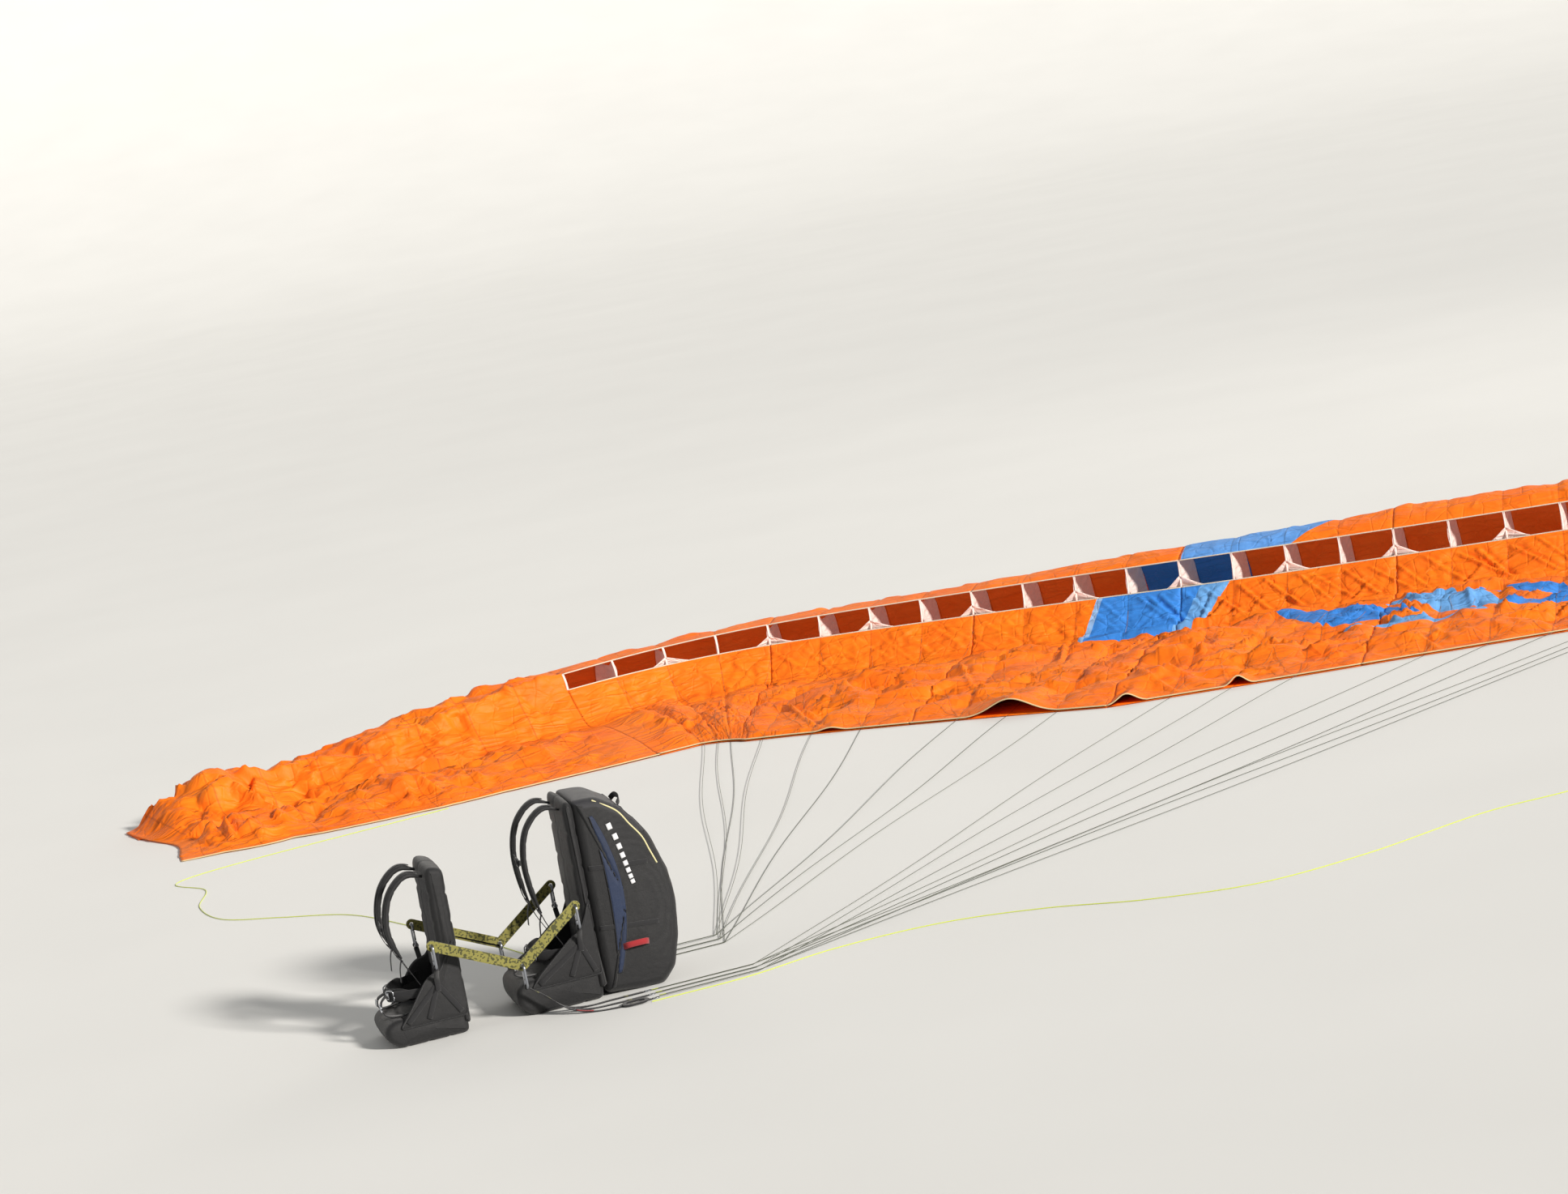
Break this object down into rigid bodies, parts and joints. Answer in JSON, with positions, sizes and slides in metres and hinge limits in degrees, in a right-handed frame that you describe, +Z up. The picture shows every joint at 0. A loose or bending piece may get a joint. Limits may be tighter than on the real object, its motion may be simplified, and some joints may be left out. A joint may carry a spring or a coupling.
{
  "type": "tandem paraglider",
  "caption": "Two-seat ram-air paraglider laid out for launch: propped leading edge with open air inlets, main lines, risers, spreader bars and two seat harnesses.",
  "frame": {"origin": "middle of the footprint of the wing and the crew's gear, on the ground, without the two brake lines", "axes": "+Z up; +X along the span, towards the wing's left tip; the crew's gear is at -Y and the wing at +Y, so launch is towards -Y"},
  "size_m": [11.4751, 8.3536, 0.86],
  "materials": {
    "wing_cloth": "coated ripstop nylon, orange",
    "panel_cloth": "coated ripstop nylon, blue",
    "rib_cloth": "hard ripstop nylon, white",
    "tape": "woven edge tape, off-white",
    "yellow_line": "sheathed polyethylene line, yellow-green",
    "dark_line": "unsheathed aramid line, dark",
    "webbing": "woven polyester webbing, black",
    "spreader_webbing": "woven webbing over a stiff strip, olive",
    "harness_cloth": "coated high-tenacity nylon, black",
    "side_panel_cloth": "coated nylon, navy blue",
    "reflective_tape": "retroreflective tape, silver",
    "buckle": "pressed and tumbled alloy",
    "moulded_plastic": "moulded acetal, black",
    "aluminium": "hard anodised, grey",
    "steel": "polished stainless steel"
  },
  "bodies": {
    "root": {"lower_skin_and_ribs_right_outer": "wing_cloth", "upper_skin_right_outer": "wing_cloth", "lower_skin_and_ribs_right_mid": "wing_cloth", "upper_skin_right_mid": "wing_cloth", "lower_skin_and_ribs_right_inner": "wing_cloth", "upper_skin_right_inner": "wing_cloth", "lower_skin_and_ribs_left_inner": "wing_cloth", "upper_skin_left_inner": "wing_cloth", "lower_skin_and_ribs_left_mid": "wing_cloth", "upper_skin_left_mid": "wing_cloth", "lower_skin_and_ribs_left_outer": "wing_cloth", "upper_skin_left_outer": "wing_cloth", "wing_tip_right": "wing_cloth", "wing_tip_left": "wing_cloth", "carabiner_main_left": "aluminium", "risers_left": "webbing", "maillon_a_left": "steel", "main_lines_a_left": "dark_line", "maillon_b_left": "steel", "main_lines_b_left": "dark_line", "maillon_c_left": "steel", "main_lines_c_left": "dark_line", "brake_handle_left": "webbing", "brake_line_left": "yellow_line", "carabiner_main_right": "aluminium", "risers_right": "webbing", "maillon_a_right": "steel", "main_lines_a_right": "dark_line", "maillon_b_right": "steel", "main_lines_b_right": "dark_line", "maillon_c_right": "steel", "main_lines_c_right": "dark_line", "brake_handle_right": "webbing", "brake_line_right": "yellow_line"},
    "spreader_bars": {"carabiner_pilot_left": "aluminium", "carabiner_passenger_left": "aluminium", "spreader_bar_left": "spreader_webbing", "carabiner_pilot_right": "aluminium", "carabiner_passenger_right": "aluminium", "spreader_bar_right": "spreader_webbing"},
    "pilot_harness": {"pilot_seat_and_back": "harness_cloth", "pilot_shoulder_strap_left": "webbing", "pilot_shoulder_strap_right": "webbing", "pilot_chest_strap": "webbing", "pilot_leg_and_belly_straps": "webbing", "pilot_back_container": "harness_cloth"},
    "passenger_harness": {"passenger_seat_and_back": "harness_cloth", "passenger_shoulder_strap_left": "webbing", "passenger_shoulder_strap_right": "webbing", "passenger_chest_strap": "webbing", "passenger_leg_and_belly_straps": "webbing"},
    "gate_main_left": {"gate_main_left": "aluminium"},
    "gate_pilot_left": {"gate_pilot_left": "aluminium"},
    "gate_passenger_left": {"gate_passenger_left": "aluminium"},
    "gate_main_right": {"gate_main_right": "aluminium"},
    "gate_pilot_right": {"gate_pilot_right": "aluminium"},
    "gate_passenger_right": {"gate_passenger_right": "aluminium"}
  },
  "joints": [
    {"name": "spreader_bars_swing", "type": "hinge", "parent": "root", "child": "spreader_bars", "pos_m": [-0.64603, -3.63822, 0.24], "axis": [0.6691, -0.7431, 0], "range_deg": [-10, 10]},
    {"name": "pilot_harness_swing", "type": "hinge", "parent": "spreader_bars", "child": "pilot_harness", "pos_m": [-0.4491, -3.4609, 0.34], "axis": [0.6691, -0.7431, 0], "range_deg": [-15, 15]},
    {"name": "passenger_harness_swing", "type": "hinge", "parent": "spreader_bars", "child": "passenger_harness", "pos_m": [-0.90985, -3.87576, 0.32], "axis": [0.6691, -0.7431, 0], "range_deg": [-15, 15]},
    {"name": "gate_main_left_spring", "type": "hinge", "parent": "root", "child": "gate_main_left", "pos_m": [-0.4918, -3.80951, 0.176], "axis": [0.7431, 0.6691, 0], "range_deg": [0, 20], "stiffness_Nm_per_rad": 0.05, "springref_deg": -20.05},
    {"name": "gate_main_right_spring", "type": "hinge", "parent": "root", "child": "gate_main_right", "pos_m": [-0.80027, -3.46692, 0.176], "axis": [-0.7431, -0.6691, 0], "range_deg": [0, 20], "stiffness_Nm_per_rad": 0.05, "springref_deg": -20.05},
    {"name": "gate_pilot_left_spring", "type": "hinge", "parent": "spreader_bars", "child": "gate_pilot_left", "pos_m": [-0.29487, -3.63219, 0.369], "axis": [0.7431, 0.6691, 0], "range_deg": [0, 20], "stiffness_Nm_per_rad": 0.05, "springref_deg": -20.05},
    {"name": "gate_pilot_right_spring", "type": "hinge", "parent": "spreader_bars", "child": "gate_pilot_right", "pos_m": [-0.60333, -3.28961, 0.369], "axis": [-0.7431, -0.6691, 0], "range_deg": [0, 20], "stiffness_Nm_per_rad": 0.05, "springref_deg": -20.05},
    {"name": "gate_passenger_left_spring", "type": "hinge", "parent": "spreader_bars", "child": "gate_passenger_left", "pos_m": [-0.75562, -4.04706, 0.349], "axis": [0.7431, 0.6691, 0], "range_deg": [0, 20], "stiffness_Nm_per_rad": 0.05, "springref_deg": -20.05},
    {"name": "gate_passenger_right_spring", "type": "hinge", "parent": "spreader_bars", "child": "gate_passenger_right", "pos_m": [-1.06408, -3.70447, 0.349], "axis": [-0.7431, -0.6691, 0], "range_deg": [0, 20], "stiffness_Nm_per_rad": 0.05, "springref_deg": -20.05}
  ]
}
